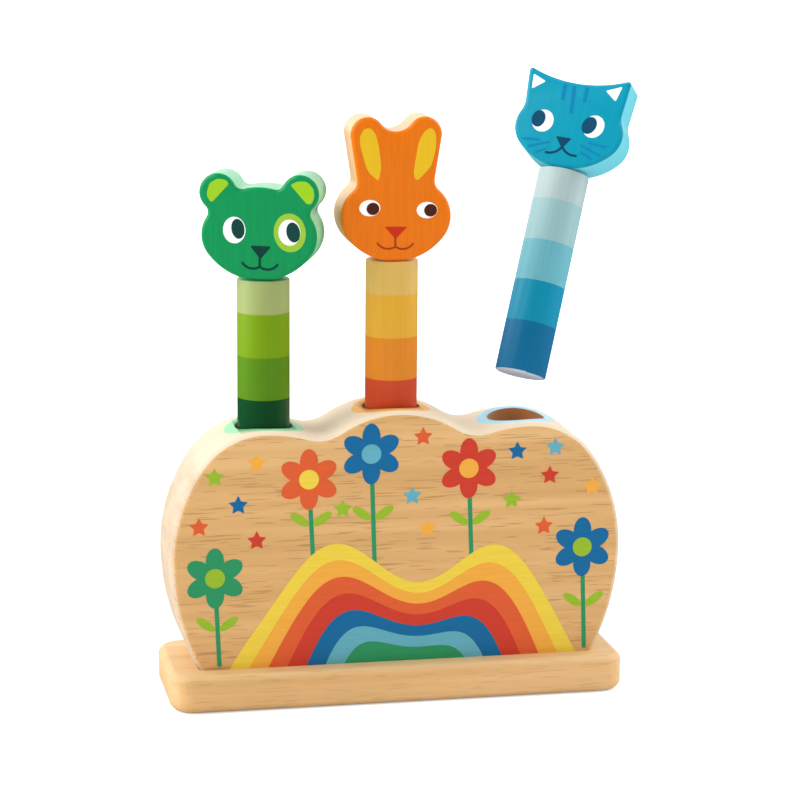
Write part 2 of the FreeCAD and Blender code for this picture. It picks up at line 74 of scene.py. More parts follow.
def calculate(tree, operation, first, second=0.0):
    node = addNode(tree, "Math", operation=operation)
    put(tree, node.inputs[0], first)
    put(tree, node.inputs[1], second)
    return node.outputs[0]


def mixed(tree, share, first, second, blend="MIX"):
    node = addNode(tree, "Mix", data_type="RGBA", blend_type=blend)
    put(tree, node.inputs[0], share)
    put(tree, node.inputs[6], first)  # inputs 6 and 7 and output 2 are the colour ones
    put(tree, node.inputs[7], second)
    return node.outputs[2]


def ramp(tree, value, stops, interpolation="LINEAR"):
    node = addNode(tree, "ValToRGB")
    node.color_ramp.interpolation = interpolation
    elements = node.color_ramp.elements
    elements.remove(elements[1])
    elements[0].position, elements[0].color = stops[0]
    for position, shade in stops[1:]:
        elements.new(position).color = shade
    put(tree, node.inputs[0], value)
    return node.outputs[0]


def objectPoint(tree):
    return addNode(tree, "TexCoord").outputs["Object"]


def localPoint(tree, space):
    # a piece's own coordinates in metres, from where it stands at rest
    mapping = addNode(tree, "Mapping", vector_type="TEXTURE")
    put(tree, mapping.inputs["Vector"], objectPoint(tree))
    mapping.inputs["Location"].default_value = space.translation
    mapping.inputs["Rotation"].default_value = space.to_euler("XYZ")
    return mapping.outputs[0]


def splitPoint(tree, point):
    node = addNode(tree, "SeparateXYZ")
    put(tree, node.inputs[0], point)
    return node.outputs


def stretchedNoise(tree, point, perMetre, detail=2.0, offset=0.0):
    stretch = addNode(tree, "Mapping", vector_type="POINT")
    put(tree, stretch.inputs["Vector"], point)
    stretch.inputs["Scale"].default_value = perMetre
    stretch.inputs["Location"].default_value = (offset, offset, offset)
    noise = addNode(tree, "TexNoise")
    put(tree, noise.inputs["Vector"], stretch.outputs[0])
    noise.inputs["Scale"].default_value = 1.0
    noise.inputs["Detail"].default_value = detail
    return noise.outputs[0]


def newMaterial(name, roughness, sheen=0.22):
    material = bpy.data.materials.new(name)
    material.use_nodes = True
    tree = material.node_tree
    shader = tree.nodes["Principled BSDF"]
    shader.inputs["Roughness"].default_value = roughness
    shader.inputs["Specular IOR Level"].default_value = sheen
    return material, tree, shader


def addRelief(tree, shader, height, depth, strength):
    bump = addNode(tree, "Bump")
    put(tree, bump.inputs["Height"], height)
    bump.inputs["Strength"].default_value = strength
    bump.inputs["Distance"].default_value = depth
    put(tree, shader.inputs["Normal"], bump.outputs[0])


woodLook = {
    "pale": colour(227, 183, 124),
    "middle": colour(219, 172, 112),
    "dark": colour(211, 164, 104),
    "bandsPerMetre": (6, 90, 190),
    "bandDetail": 3.0,
    "bandStops": (0.32, 0.5, 0.68),
    "fleck": colour(156, 108, 62),
    "flecksPerMetre": (95, 1800, 1800),
    "fleckStops": (0.66, 0.74),
    "fleckOffset": 4.0,
    "fleckStrength": 0.45,
    "poreDepth": 0.08 * mm,
    "poreStrength": 0.4,
    "roughness": 0.52,
}
# a paler, greyer copy of the wood, painted highlight for the brightly lit top and ends of the
# block
paintedHighlightWoodLook = {
    **woodLook,
    "pale": colour(218, 197, 171),
    "middle": colour(212, 190, 164),
    "dark": colour(205, 181, 152),
    "fleck": colour(188, 153, 113),
}
plankWoodLook = {
    **woodLook,
    "pale": colour(233, 189, 132),
    "middle": colour(225, 180, 122),
    "dark": colour(216, 171, 112),
    "fleckStrength": 0.2,
}
# a paler copy of the plank's wood, painted highlight for its brightly lit top and ends
plankPaintedHighlightLook = {
    **plankWoodLook,
    "pale": colour(228, 194, 146),
    "middle": colour(222, 186, 136),
    "dark": colour(214, 176, 124),
}


def woodGrain(tree, point, look):
    # soft lengthwise bands with short dark pores along X
    bands = stretchedNoise(tree, point, look["bandsPerMetre"], look["bandDetail"])
    shades = (look["dark"], look["middle"], look["pale"])
    tone = ramp(tree, bands, list(zip(look["bandStops"], shades)))
    flecks = stretchedNoise(tree, point, look["flecksPerMetre"], 0.0, look["fleckOffset"])
    pores = ramp(tree, flecks, list(zip(look["fleckStops"], (black, white))))
    share = calculate(tree, "MULTIPLY", pores, look["fleckStrength"])
    return mixed(tree, share, tone, look["fleck"]), pores


def finishWood(tree, shader, shade, pores, look):
    put(tree, shader.inputs["Base Color"], shade)
    addRelief(tree, shader, calculate(tree, "SUBTRACT", 1.0, pores), look["poreDepth"],
              look["poreStrength"])


def makeWood(name, look):
    material, tree, shader = newMaterial(name, look["roughness"])
    shade, pores = woodGrain(tree, objectPoint(tree), look)
    finishWood(tree, shader, shade, pores, look)
    return material


paintLook = {
    "roughness": 0.3,
    "grainDepth": 0.04,
    "grainStops": (0.35, 0.65),
    "upGrain": (900, 900, 60),
    "acrossGrain": (60, 900, 900),
    "reliefDepth": 0.06 * mm,
    "reliefStrength": 0.25,
}


def grainRelief(tree, shader, grain):
    addRelief(tree, shader, grain, paintLook["reliefDepth"], paintLook["reliefStrength"])


def makePaint(name, shade, space, roughness=paintLook["roughness"],
              grainDepth=paintLook["grainDepth"], perMetre=paintLook["upGrain"]):
    # satin paint through which the grain still shows a little
    material, tree, shader = newMaterial(name, roughness)
    grain = stretchedNoise(tree, localPoint(tree, space), perMetre)
    shades = (scaled(shade, 1 - grainDepth), scaled(shade, 1 + grainDepth))
    put(tree, shader.inputs["Base Color"],
        ramp(tree, grain, list(zip(paintLook["grainStops"], shades))))
    grainRelief(tree, shader, grain)
    return material


metalLook = {"sheen": 0.5, "wearPerMetre": (900, 900, 900), "wearStops": (0.3, 0.7),
             "wornShare": 0.8}


def makeMetal(name, look):
    material, tree, shader = newMaterial(name, look["roughness"], metalLook["sheen"])
    wear = stretchedNoise(tree, objectPoint(tree), metalLook["wearPerMetre"])
    shades = (scaled(look["shade"], metalLook["wornShare"]), look["shade"])
    put(tree, shader.inputs["Base Color"],
        ramp(tree, wear, list(zip(metalLook["wearStops"], shades))))
    shader.inputs["Metallic"].default_value = 1.0
    return material


# Distances in metres and angles in degrees; turned pieces are still in millimetres when
# their doubles are merged.
meshLook = {"joinDistance": 2e-6, "flatAngle": 1, "chamferAngles": (33, 57),
            "roundSegments": 3, "sliver": 4e-6, "shortestEdge": 2e-6, "turnedJoin": 1e-4}


def mergedCopy(nodeName):
    # a CAD node's triangles joined up again, flat faces whole
    mesh = bmesh.new()
    mesh.from_mesh(nodes[nodeName].data)
    bmesh.ops.remove_doubles(mesh, verts=mesh.verts, dist=meshLook["joinDistance"])
    bmesh.ops.dissolve_limit(mesh, angle_limit=math.radians(meshLook["flatAngle"]),
                             verts=mesh.verts, edges=mesh.edges)
    return mesh


def softenEdges(mesh, offset):
    # rounds both rims of each chamfer, which turns it into a small round edge
    lowest, highest = (math.radians(angle) for angle in meshLook["chamferAngles"])
    picked = [edge for edge in mesh.edges
              if len(edge.link_faces) == 2 and lowest < edge.calc_face_angle() < highest]
    bmesh.ops.bevel(mesh, geom=picked, offset=offset, offset_type="OFFSET",
                    segments=meshLook["roundSegments"], profile=0.5, affect="EDGES",
                    clamp_overlap=True, material=-1)
    # slivers of a few micrometres at sharp corners close up
    bmesh.ops.remove_doubles(mesh, verts=mesh.verts, dist=meshLook["sliver"])
    bmesh.ops.dissolve_degenerate(mesh, edges=mesh.edges, dist=meshLook["shortestEdge"])


def turnedMesh(profile, segments, space):
    # a half profile of (radius, height) in millimetres, turned about Z
    mesh = bmesh.new()
    points = [mesh.verts.new((radius, 0, height)) for radius, height in profile]
    edges = [mesh.edges.new(pair) for pair in zip(points, points[1:])]
    bmesh.ops.spin(mesh, geom=points + edges, axis=(0, 0, 1), cent=(0, 0, 0),
                   angle=2 * math.pi, steps=segments, use_merge=True)
    bmesh.ops.remove_doubles(mesh, verts=mesh.verts, dist=meshLook["turnedJoin"])
    bmesh.ops.recalc_face_normals(mesh, faces=mesh.faces)
    mesh.transform(space @ Matrix.Scale(mm, 4))
    return mesh


def addPiece(name, mesh, materials, body, replaced=(), sharpAngle=32):
    data = bpy.data.meshes.new(name)
    for face in mesh.faces:
        face.smooth = True
    mesh.to_mesh(data)
    mesh.free()
    for material in materials:
        data.materials.append(material)
    data.set_sharp_from_angle(angle=math.radians(sharpAngle))
    piece = bpy.data.objects.new(name, data)
    bpy.context.scene.collection.objects.link(piece)
    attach(piece, body)
    if replaced:
        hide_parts(*replaced)
    return piece


# Where each figure stands: along the block, height of its chin, turn and lean.
figureLook = {
    "bear": {"across": -49.5, "chin": 162.3, "turn": -20, "lean": 0},
    "rabbit": {"across": 0.0, "chin": 168.5, "turn": -1, "lean": 0},
    "cat": {"across": 49.5, "chin": 162.3, "turn": -28, "lean": 22.5},
}
leanPivot = Vector((123.0391, 73.5391, 93.5)) * mm
leanAxis = Vector((-0.7071068, 0.7071068, 0))
dowelLength = 81.6
headSpace, dowelSpace = {}, {}
for figure, stand in figureLook.items():
    seated = (Matrix.Translation((stand["across"] * mm, 0, stand["chin"] * mm))
              @ Matrix.Rotation(math.radians(stand["turn"]), 4, "Z"))
    lean = Matrix.Rotation(math.radians(stand["lean"]), 4, leanAxis)
    headSpace[figure] = (Matrix.Translation(leanPivot) @ lean
                         @ Matrix.Translation(-leanPivot) @ seated)
    dowelSpace[figure] = headSpace[figure] @ Matrix.Translation((0, 0, -dowelLength * mm))
print("stage: figures placed")


def addWoodenSkin(name, nodeName, woods, look):
    # the faces that look to the front or back show flat grain; the rest take a paler copy of
    # the wood, painted highlight for the stronger light on the top and ends
    mesh = mergedCopy(nodeName)
    softenEdges(mesh, look["edgeRounding"])
    for face in mesh.faces:
        onFront = (abs(face.normal.y) > look["frontFacing"]
                   and abs(face.calc_center_median().y) > look["frontFrom"])
        face.material_index = 0 if onFront else 1
    addPiece(name, mesh, woods, "block", [nodeName])


plankLook = {"edgeRounding": 0.75 * mm, "frontFrom": 24 * mm, "frontFacing": 0.75}
addWoodenSkin("plankSkin", "base_plank",
              [makeWood("plankWood", plankWoodLook), makeWood("plankPaintedHighlightWood", plankPaintedHighlightLook)],
              plankLook)

blockLook = {
    "edgeRounding": 0.7 * mm,
    "frontFrom": 15 * mm,
    "frontFacing": 0.75,
    # painted highlight: the wood turns lighter towards the top of the block
    "paintedHighlightTone": colour(238, 221, 193),
    "paintedHighlightFrom": 84 * mm,
    "paintedHighlightFull": 106 * mm,
    "paintedHighlightShare": 0.8,
    "ringLowest": 98 * mm,
    "ringRadius": 15.2 * mm,
    "rings": {"bear": colour(160, 232, 178), "rabbit": colour(246, 190, 96),
              "cat": colour(176, 222, 240)},
    "boreRadius": 11.15 * mm,
    # painted shade: the walls of the bores darker than the wood around them
    "borePaintedShade": colour(170, 108, 58),
}


def makeRingsAndPaintedLightWood(look):
    # pale wood as painted highlight, lighter still towards the top as more painted highlight,
    # with a painted ring round the mouth of each bore and painted shade within each bore
    material, tree, shader = newMaterial("ringsAndPaintedLightWood", paintedHighlightWoodLook["roughness"])
    point = objectPoint(tree)
    shade, pores = woodGrain(tree, point, paintedHighlightWoodLook)
    place = splitPoint(tree, point)
    # painted highlight, growing from the sides up to the top
    climb = addNode(tree, "MapRange", interpolation_type="SMOOTHSTEP")
    for socket, value in (("Value", place["Z"]), ("From Min", look["paintedHighlightFrom"]),
                          ("From Max", look["paintedHighlightFull"]), ("To Max", look["paintedHighlightShare"])):
        put(tree, climb.inputs[socket], value)
    shade = mixed(tree, climb.outputs[0], shade, look["paintedHighlightTone"])
    high = calculate(tree, "GREATER_THAN", place["Z"], look["ringLowest"])
    for name, ringShade in look["rings"].items():
        off = calculate(tree, "SUBTRACT", place["X"], figureLook[name]["across"] * mm)
        squares = calculate(tree, "ADD", calculate(tree, "POWER", off, 2.0),
                            calculate(tree, "POWER", place["Y"], 2.0))
        reach = calculate(tree, "SQRT", squares)
        near = calculate(tree, "LESS_THAN", reach, look["ringRadius"])
        shade = mixed(tree, calculate(tree, "MULTIPLY", high, near), shade, ringShade)
        # painted shade within each bore
        borePaintedShadeMask = calculate(tree, "LESS_THAN", reach, look["boreRadius"])
        shade = mixed(tree, borePaintedShadeMask, shade, look["borePaintedShade"])
    finishWood(tree, shader, shade, pores, paintedHighlightWoodLook)
    return material


addWoodenSkin("blockSkin", "play_block",
              [makeWood("blockWood", woodLook), makeRingsAndPaintedLightWood(blockLook)], blockLook)
print("stage: plank and block")


# A sheet is drawn in millimetres, X to the right and Y up, and stands just proud of its piece.
# Each layer of paint lies a little above the one before, so that shapes may overlap.
sheetLook = {"sink": 0.03, "firstLayer": 0.05, "layerStep": 0.02, "ovalSegments": 40,
             "strokeSegments": 14, "cornerSegments": 6, "joinDistance": 0.01}


def thicken(mesh, faces, layer, material):
    for face in faces:
        face.material_index = material
    grown = bmesh.ops.extrude_face_region(mesh, geom=faces)["geom"]
    top = sheetLook["firstLayer"] + layer * sheetLook["layerStep"]
    lifted = [item for item in grown if isinstance(item, bmesh.types.BMVert)]
    bmesh.ops.translate(mesh, verts=lifted, vec=(0, 0, top + sheetLook["sink"]))


def thickenNew(mesh, before, layer, material):
    thicken(mesh, [face for face in mesh.faces if face not in before], layer, material)


def addOval(mesh, centre, halfWidth, halfHeight, material, layer=0, tilt=0.0):
    place = (Matrix.Translation((*centre, -sheetLook["sink"]))
             @ Matrix.Rotation(math.radians(tilt), 4, "Z")
             @ Matrix.Diagonal((halfWidth, halfHeight, 1, 1)))
    made = bmesh.ops.create_circle(mesh, cap_ends=True, radius=1, matrix=place,
                                   segments=sheetLook["ovalSegments"])
    faces = list({face for vert in made["verts"] for face in vert.link_faces})
    thicken(mesh, faces, layer, material)


def addPatch(mesh, corners, material, layer=0, rounding=0.0,
             segments=sheetLook["cornerSegments"]):
    # a flat shape with a few corners, each of them rounded off
    before = set(mesh.faces)
    points = [mesh.verts.new((*corner, -sheetLook["sink"])) for corner in corners]
    mesh.faces.new(points)
    if rounding:
        made = bmesh.ops.bevel(mesh, geom=points, offset=rounding, offset_type="OFFSET",
                               segments=segments, profile=0.5, affect="VERTICES",
                               clamp_overlap=True, material=-1)
        bmesh.ops.remove_doubles(mesh, verts=made["verts"], dist=sheetLook["joinDistance"])
    thickenNew(mesh, before, layer, material)


def circleCentre(first, through, last):
    a, b = through - first, last - first
    turn = 2 * (a.x * b.y - a.y * b.x)
    return first + Vector((b.y * a.length_squared - a.y * b.length_squared,
                           a.x * b.length_squared - b.x * a.length_squared)) / turn


def addStroke(mesh, start, middle, end, width, material, layer=0, roundStart=True):
    # a round-ended stroke along the arc through three points, or straight without a middle
    first, last = Vector(start), Vector(end)
    for point in ((first, last) if roundStart else (last,)):
        addOval(mesh, point, width / 2, width / 2, material, layer + 0.5)
    if middle is None:
        across = (last - first).orthogonal().normalized() * width / 2
        addPatch(mesh, [first + across, first - across, last - across, last + across],
                 material, layer)
        return
    centre = circleCentre(first, Vector(middle), last)
    radius = (first - centre).length
    begin = math.atan2(first.y - centre.y, first.x - centre.x)
    sweep = math.atan2(last.y - centre.y, last.x - centre.x) - begin
    sweep = (sweep + math.pi) % (2 * math.pi) - math.pi
    ends = [mesh.verts.new((centre.x + reach * math.cos(begin),
                            centre.y + reach * math.sin(begin), -sheetLook["sink"]))
            for reach in (radius - width / 2, radius + width / 2)]
    edge = mesh.edges.new(ends)
    before = set(mesh.faces)
    bmesh.ops.spin(mesh, geom=ends + [edge], axis=(0, 0, 1), cent=(*centre, 0), angle=sweep,
                   steps=sheetLook["strokeSegments"])
    thickenNew(mesh, before, layer, material)


def finishSheet(name, mesh, space, materials, body):
    # stands the sheet up, so that its layers face -Y
    bmesh.ops.recalc_face_normals(mesh, faces=mesh.faces)
    mesh.transform(space @ Matrix.Rotation(math.pi / 2, 4, "X") @ Matrix.Scale(mm, 4))
    addPiece(name, mesh, materials, body)


headLook = {
    "halfThickness": 9 * mm,
    "edgeRounding": 0.45 * mm,
    "faceFacing": 0.3,
    "bear": {"face": colour(6, 145, 82), "side": colour(142, 212, 168)},
    "rabbit": {"face": colour(231, 116, 0), "side": colour(234, 190, 142)},
    "cat": {"face": colour(0, 148, 176), "side": colour(112, 208, 224)},
}


def makeHead(figure, look):
    space = headSpace[figure]
    mesh = mergedCopy(figure + "_head")
    softenEdges(mesh, headLook["edgeRounding"])
    fromWorld = space.to_3x3().inverted()
    for face in mesh.faces:
        # the painted face wraps over its round edge; the rim has the light colour
        facing = abs((fromWorld @ face.normal).y)
        face.material_index = 0 if facing > headLook["faceFacing"] else 1
    materials = [makePaint(figure + "FacePaint", look["face"], space),
                 makePaint(figure + "RimPaint", look["side"], space)]
    addPiece(figure + "HeadSkin", mesh, materials, figure + "_figure",
             [figure + "_head"])


for figure in figureLook:
    makeHead(figure, headLook[figure])
print("stage: heads")


# Patches: shade, rounding, corners.  Ovals: shade, layer, tilt, half width and height, centre.
# Strokes: shade, width, start, middle or None, end.
eyeWhite = colour(252, 252, 250)
faceGrainDepth = 0.02
bearFaceLook = {
    "shades": {
        "EyeWhite": eyeWhite,
        "Pupil": colour(19, 68, 63),
        "Ear": colour(151, 201, 30),
        "EyeRing": colour(149, 192, 55),
        "Nose": colour(12, 63, 56),
    },
    "patches": [
        ("Ear", 1.3, [(-19.7, 32.6), (-18.6, 36.4), (-15.8, 38.2), (-12.6, 38), (-11.1, 36.4),
                      (-17.8, 29.2), (-19, 30.4)]),
        ("Ear", 1.3, [(12.1, 36.6), (15.1, 38.0), (18.4, 37.9), (20.8, 35.4), (21.2, 32.4),
                      (20.2, 29.6), (18.4, 29.4)]),
        ("Nose", 0.8, [(-3.3, 13.4), (4.9, 13.3), (0.7, 8.3)]),
    ],
    "ovals": [
        ("EyeWhite", 0, 0, (4.3, 5.0), (-9.2, 19.1)),
        ("Pupil", 1, 8, (2.5, 3.8), (-7.8, 19.6)),
        ("EyeRing", 0, 5, (6.1, 7.3), (11.9, 18.6)),
        ("EyeWhite", 1, 0, (4.2, 4.9), (11.8, 18.7)),
        ("Pupil", 2, 10, (2.6, 3.8), (13.2, 18.8)),
    ],
    "strokes": [
        ("Nose", 0.9, (0.5, 9.4), None, (0.4, 5.5)),
        ("Nose", 0.9, (0.4, 5.5), (-3.1, 4.8), (-6.1, 6.8)),
        ("Nose", 0.9, (0.4, 5.5), (3.7, 4.5), (7.2, 6.4)),
    ],
}
rabbitFaceLook = {
    "shades": {
        "EyeWhite": eyeWhite,
        "Pupil": colour(78, 36, 22),
        "Ear": colour(232, 186, 26),
        "Nose": colour(200, 46, 12),
        "Mouth": colour(172, 56, 16),
    },
    "patches": [
        ("Ear", 1.9, [(-14.3, 45), (-13.7, 49), (-11.2, 51.2), (-8.4, 49.4), (-6.7, 43),
                      (-5.9, 36), (-6.9, 30.4), (-11.2, 34.6)]),
        ("Ear", 1.9, [(8.2, 45), (10.2, 49), (12.9, 51), (15, 48.6), (15, 43),
                      (13.2, 36), (7.6, 30.2), (6.3, 33.2)]),
        ("Nose", 0.7, [(-4.6, 13.5), (4.3, 13.3), (-0.3, 8.7)]),
    ],
    "ovals": [
        ("EyeWhite", 0, 0, (4.0, 3.1), (-10.2, 20.6)),
        ("Pupil", 1, 0, (2.45, 2.35), (-9.0, 20.3)),
        ("EyeWhite", 0, 0, (4.0, 3.1), (11.75, 19.5)),
        ("Pupil", 1, 0, (2.5, 2.4), (13.1, 19.4)),
    ],
    "strokes": [
        ("Mouth", 0.75, (-0.4, 9.6), None, (-0.3, 5.8)),
        ("Mouth", 0.75, (-0.3, 5.8), (-3.9, 5.1), (-7.2, 7.2)),
        ("Mouth", 0.75, (-0.3, 5.8), (3.3, 4.9), (6.4, 6.8)),
    ],
}
catFaceLook = {
    "shades": {
        "EyeWhite": eyeWhite,
        "Pupil": colour(8, 72, 104),
        "Ear": colour(248, 252, 252),
        "Stripe": colour(0, 126, 174),
        "Mouth": colour(6, 66, 96),
    },
    "patches": [
        ("Ear", 0.7, [(-18.4, 35.6), (-12.9, 33.2), (-17.9, 29.4)]),
        ("Ear", 0.7, [(11.4, 33.0), (17.7, 35.6), (16.1, 29.3)]),
        ("Mouth", 0.6, [(-4.2, 12.1), (2.2, 12.1), (-0.9, 7.5)]),
    ],
    "ovals": [
        ("EyeWhite", 0, -15, (4.2, 4.5), (-10.7, 17.4)),
        ("Pupil", 1, -8, (2.7, 3.4), (-12.6, 18.0)),
        ("EyeWhite", 0, -20, (4.1, 4.6), (9.7, 18.1)),
        ("Pupil", 1, -20, (2.8, 3.6), (7.9, 18.3)),
    ],
    "strokes": [
        ("Stripe", 1.5, (-4.9, 27.4), None, (-5, 32.6)),
        ("Stripe", 1.5, (-0.4, 22.6), None, (-1.3, 32.4)),
        ("Stripe", 1.5, (4.0, 27.6), None, (3.9, 32.6)),
        ("Mouth", 0.95, (-0.9, 8.3), (-3.7, 5.6), (-6.8, 5.1)),
        ("Mouth", 0.95, (-0.9, 8.3), (1.7, 6.0), (5.2, 5.5)),
        # whiskers
        ("Stripe", 0.9, (-16.6, 9.3), None, (-10.5, 9.6)),
        ("Stripe", 0.9, (-13.9, 6.6), None, (-6.7, 9.3)),
        ("Stripe", 0.9, (-10.8, 4.4), None, (-7.5, 6.4)),
        ("Stripe", 0.9, (9.3, 11.4), None, (16.2, 10.7)),
        ("Stripe", 0.9, (6.3, 9.9), None, (14.3, 7.0)),
        ("Stripe", 0.9, (7.3, 6.9), None, (11.5, 5.1)),
    ],
}


def paintFace(figure, look):
    mesh = bmesh.new()
    order = {name: index for index, name in enumerate(look["shades"])}
    for shade, rounding, corners in look["patches"]:
        addPatch(mesh, corners, order[shade], rounding=rounding)
    for shade, layer, tilt, (halfWidth, halfHeight), centre in look["ovals"]:
        addOval(mesh, centre, halfWidth, halfHeight, order[shade], layer, tilt)
    rounded = set()
    for shade, width, start, middle, end in look["strokes"]:
        # where strokes meet, one round end is enough
        addStroke(mesh, start, middle, end, width, order[shade],
                  roundStart=start not in rounded)
        rounded |= {start, end}
    space = headSpace[figure] @ Matrix.Translation((0, -headLook["halfThickness"], 0))
    paints = [makePaint(figure + name, shade, headSpace[figure], grainDepth=faceGrainDepth)
              for name, shade in look["shades"].items()]
    finishSheet(figure + "Face", mesh, space, paints, figure + "_figure")


for figure, look in (("bear", bearFaceLook), ("rabbit", rabbitFaceLook), ("cat", catFaceLook)):
    paintFace(figure, look)
print("stage: faces")


dowelLook = {
    "radius": 10,
    "ease": 0.7,
    "pinHoleRadius": 3.05,
    "pinHoleDepth": 11.5,
    "segments": 96,
    "endFacing": 0.9,
    "roughness": 0.36,
    "grainPerMetre": (900, 900, 40),
    "grainShare": 0.95,
    "bandTops": (19.6, 36.0, 52.1, 68.6),
    "bear": {"slot": "green_bands", "end": colour(120, 170, 130),
             "bands": [colour(0, 56, 30), colour(0, 72, 32), colour(86, 136, 12),
                       colour(118, 156, 0), colour(158, 172, 106)]},
    "rabbit": {"slot": "orange_bands", "end": colour(236, 190, 130),
               "bands": [colour(150, 40, 25), colour(200, 70, 34), colour(220, 132, 32),
                         colour(222, 166, 50), colour(216, 177, 92)]},
    "cat": {"slot": "blue_bands", "end": colour(204, 214, 228),
            "bands": [colour(0, 106, 152), colour(0, 140, 174), colour(104, 176, 190),
                      colour(148, 187, 191), colour(172, 193, 194)]},
}


def makeBandPaint(figure, bandShades):
    # five bands from the foot up, with the grain faintly through them
    material, tree, shader = newMaterial(figure + "Bands", dowelLook["roughness"])
    point = localPoint(tree, dowelSpace[figure])
    height = calculate(tree, "DIVIDE", splitPoint(tree, point)["Z"], dowelLength * mm)
    starts = [0.0] + [top / dowelLength for top in dowelLook["bandTops"]]
    bands = ramp(tree, height, list(zip(starts, bandShades)), "CONSTANT")
    grain = stretchedNoise(tree, point, dowelLook["grainPerMetre"])
    faint = ramp(tree, grain, list(zip(paintLook["grainStops"],
                                       (scaled(white, dowelLook["grainShare"]), white))))
    put(tree, shader.inputs["Base Color"], mixed(tree, 1.0, bands, faint, "MULTIPLY"))
    grainRelief(tree, shader, grain)
    return material


def makeDowel(figure, look):
    radius, ease = dowelLook["radius"], dowelLook["ease"]
    holeRadius, holeFloor = dowelLook["pinHoleRadius"], dowelLength - dowelLook["pinHoleDepth"]
    corner, half = radius - ease, math.sin(math.radians(45)) * ease
    profile = [(0, 0), (corner, 0), (corner + half, ease - half), (radius, ease),
               (radius, dowelLength - ease), (corner + half, dowelLength - ease + half),
               (corner, dowelLength), (holeRadius, dowelLength), (holeRadius, holeFloor),
               (0, holeFloor)]
    space = dowelSpace[figure]
    mesh = turnedMesh(profile, dowelLook["segments"], space)
    axis = (space.to_3x3() @ Vector((0, 0, 1))).normalized()
    for face in mesh.faces:
        isEnd = abs(face.normal.dot(axis)) > dowelLook["endFacing"]
        face.material_index = 1 if isEnd else 0
    materials = [makeBandPaint(figure, look["bands"]),
                 makePaint(figure + "DowelEnd", look["end"], space)]
    addPiece(figure + "DowelTurned", mesh, materials, figure + "_figure",
             [figure + "_dowel"])


for figure in figureLook:
    makeDowel(figure, dowelLook[figure])
print("stage: dowels")


springLook = {
    "coilRadius": 7.0,
    "wireRadius": 0.61,
    "wireSegments": 12,
    "startAngle": 77.14,
    "length": 40,
    "lowest": 0.7,
    "closedRise": 1.5,
    "activeTurns": 3,
    "stepsPerTurn": 40,
    "sharpAngle": 60,
    "floor": {"bear": 34.7, "rabbit": 40.9, "cat": 34.7},
    "keep": {"bear": 0.375, "rabbit": 0.375, "cat": 0.75},
    "shade": colour(196, 198, 202),
    "roughness": 0.28,
}
springSteel = makeMetal("springSteel", springLook)


def makeSpring(figure, look):
    # closed turn, active turns, closed turn, swept one after the other
    mesh = bmesh.new()
    start = (Matrix.Rotation(math.radians(look["startAngle"]), 4, "Z")
             @ Matrix.Translation((look["coilRadius"], 0, look["lowest"]))
             @ Matrix.Rotation(math.pi / 2, 4, "X"))
    section = bmesh.ops.create_circle(mesh, cap_ends=False, radius=look["wireRadius"],
                                      segments=look["wireSegments"], matrix=start)["verts"]
    last = list(section) + list({edge for vert in section for edge in vert.link_edges})
    climb = look["length"] - 2 * look["lowest"] - 2 * look["closedRise"]
    for turns, rise in ((1, look["closedRise"]), (look["activeTurns"], climb),
                        (1, look["closedRise"])):
        steps = round(turns * look["stepsPerTurn"])
        last = bmesh.ops.spin(mesh, geom=last, axis=(0, 0, 1), cent=(0, 0, 0),
                              dvec=(0, 0, rise / steps), angle=2 * math.pi * turns,
                              steps=steps)["geom_last"]
    bmesh.ops.holes_fill(mesh, edges=mesh.edges, sides=look["wireSegments"])
    bmesh.ops.recalc_face_normals(mesh, faces=mesh.faces)
    floorPoint = (figureLook[figure]["across"] * mm, 0, look["floor"][figure] * mm)
    mesh.transform(Matrix.Translation(floorPoint) @ Matrix.Scale(mm, 4))
    spring = addPiece(figure + "SpringWire", mesh, [springSteel], "block",
                      [figure + "_spring"], look["sharpAngle"])
    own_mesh(spring)


# Caps and pins are of the same bare wood.
bareWoodLook = {"shade": colour(236, 205, 160), "roughness": 0.6, "grainDepth": 0.12}
capLook = {"radius": 10.5, "thickness": 6, "ease": 0.6, "segments": 72}


def makeBareWood(name, space):
    return makePaint(name, bareWoodLook["shade"], space, bareWoodLook["roughness"],
                     bareWoodLook["grainDepth"])


def makeCap(figure, look):
    radius, ease, thickness = look["radius"], look["ease"], look["thickness"]
    profile = [(0, 0), (radius - ease, 0), (radius, ease), (radius, thickness - ease),
               (radius - ease, thickness), (0, thickness)]
    seat = springLook["floor"][figure] + springLook["length"]
    space = Matrix.Translation((figureLook[figure]["across"] * mm, 0, seat * mm))
    addPiece(figure + "CapTurned", turnedMesh(profile, look["segments"], space),
             [makeBareWood(figure + "CapWood", space)], figure + "_seat",
             [figure + "_spring_cap"])


for figure in figureLook:
    makeSpring(figure, springLook)
    makeCap(figure, capLook)
print("stage: springs and caps")


screwLook = {"shade": colour(214, 200, 150), "roughness": 0.35}
screwSteel = makeMetal("screwSteel", screwLook)
pinWood = makeBareWood("pinWood", Matrix.Identity(4))
for nodeName, material in (("base_screws", screwSteel), ("spring_staples", springSteel),
                           ("bear_neck_pin", pinWood), ("rabbit_neck_pin", pinWood),
                           ("cat_neck_pin", pinWood)):
    nodes[nodeName].data.materials.clear()
    nodes[nodeName].data.materials.append(material)
print("stage: screws, staples and pins")


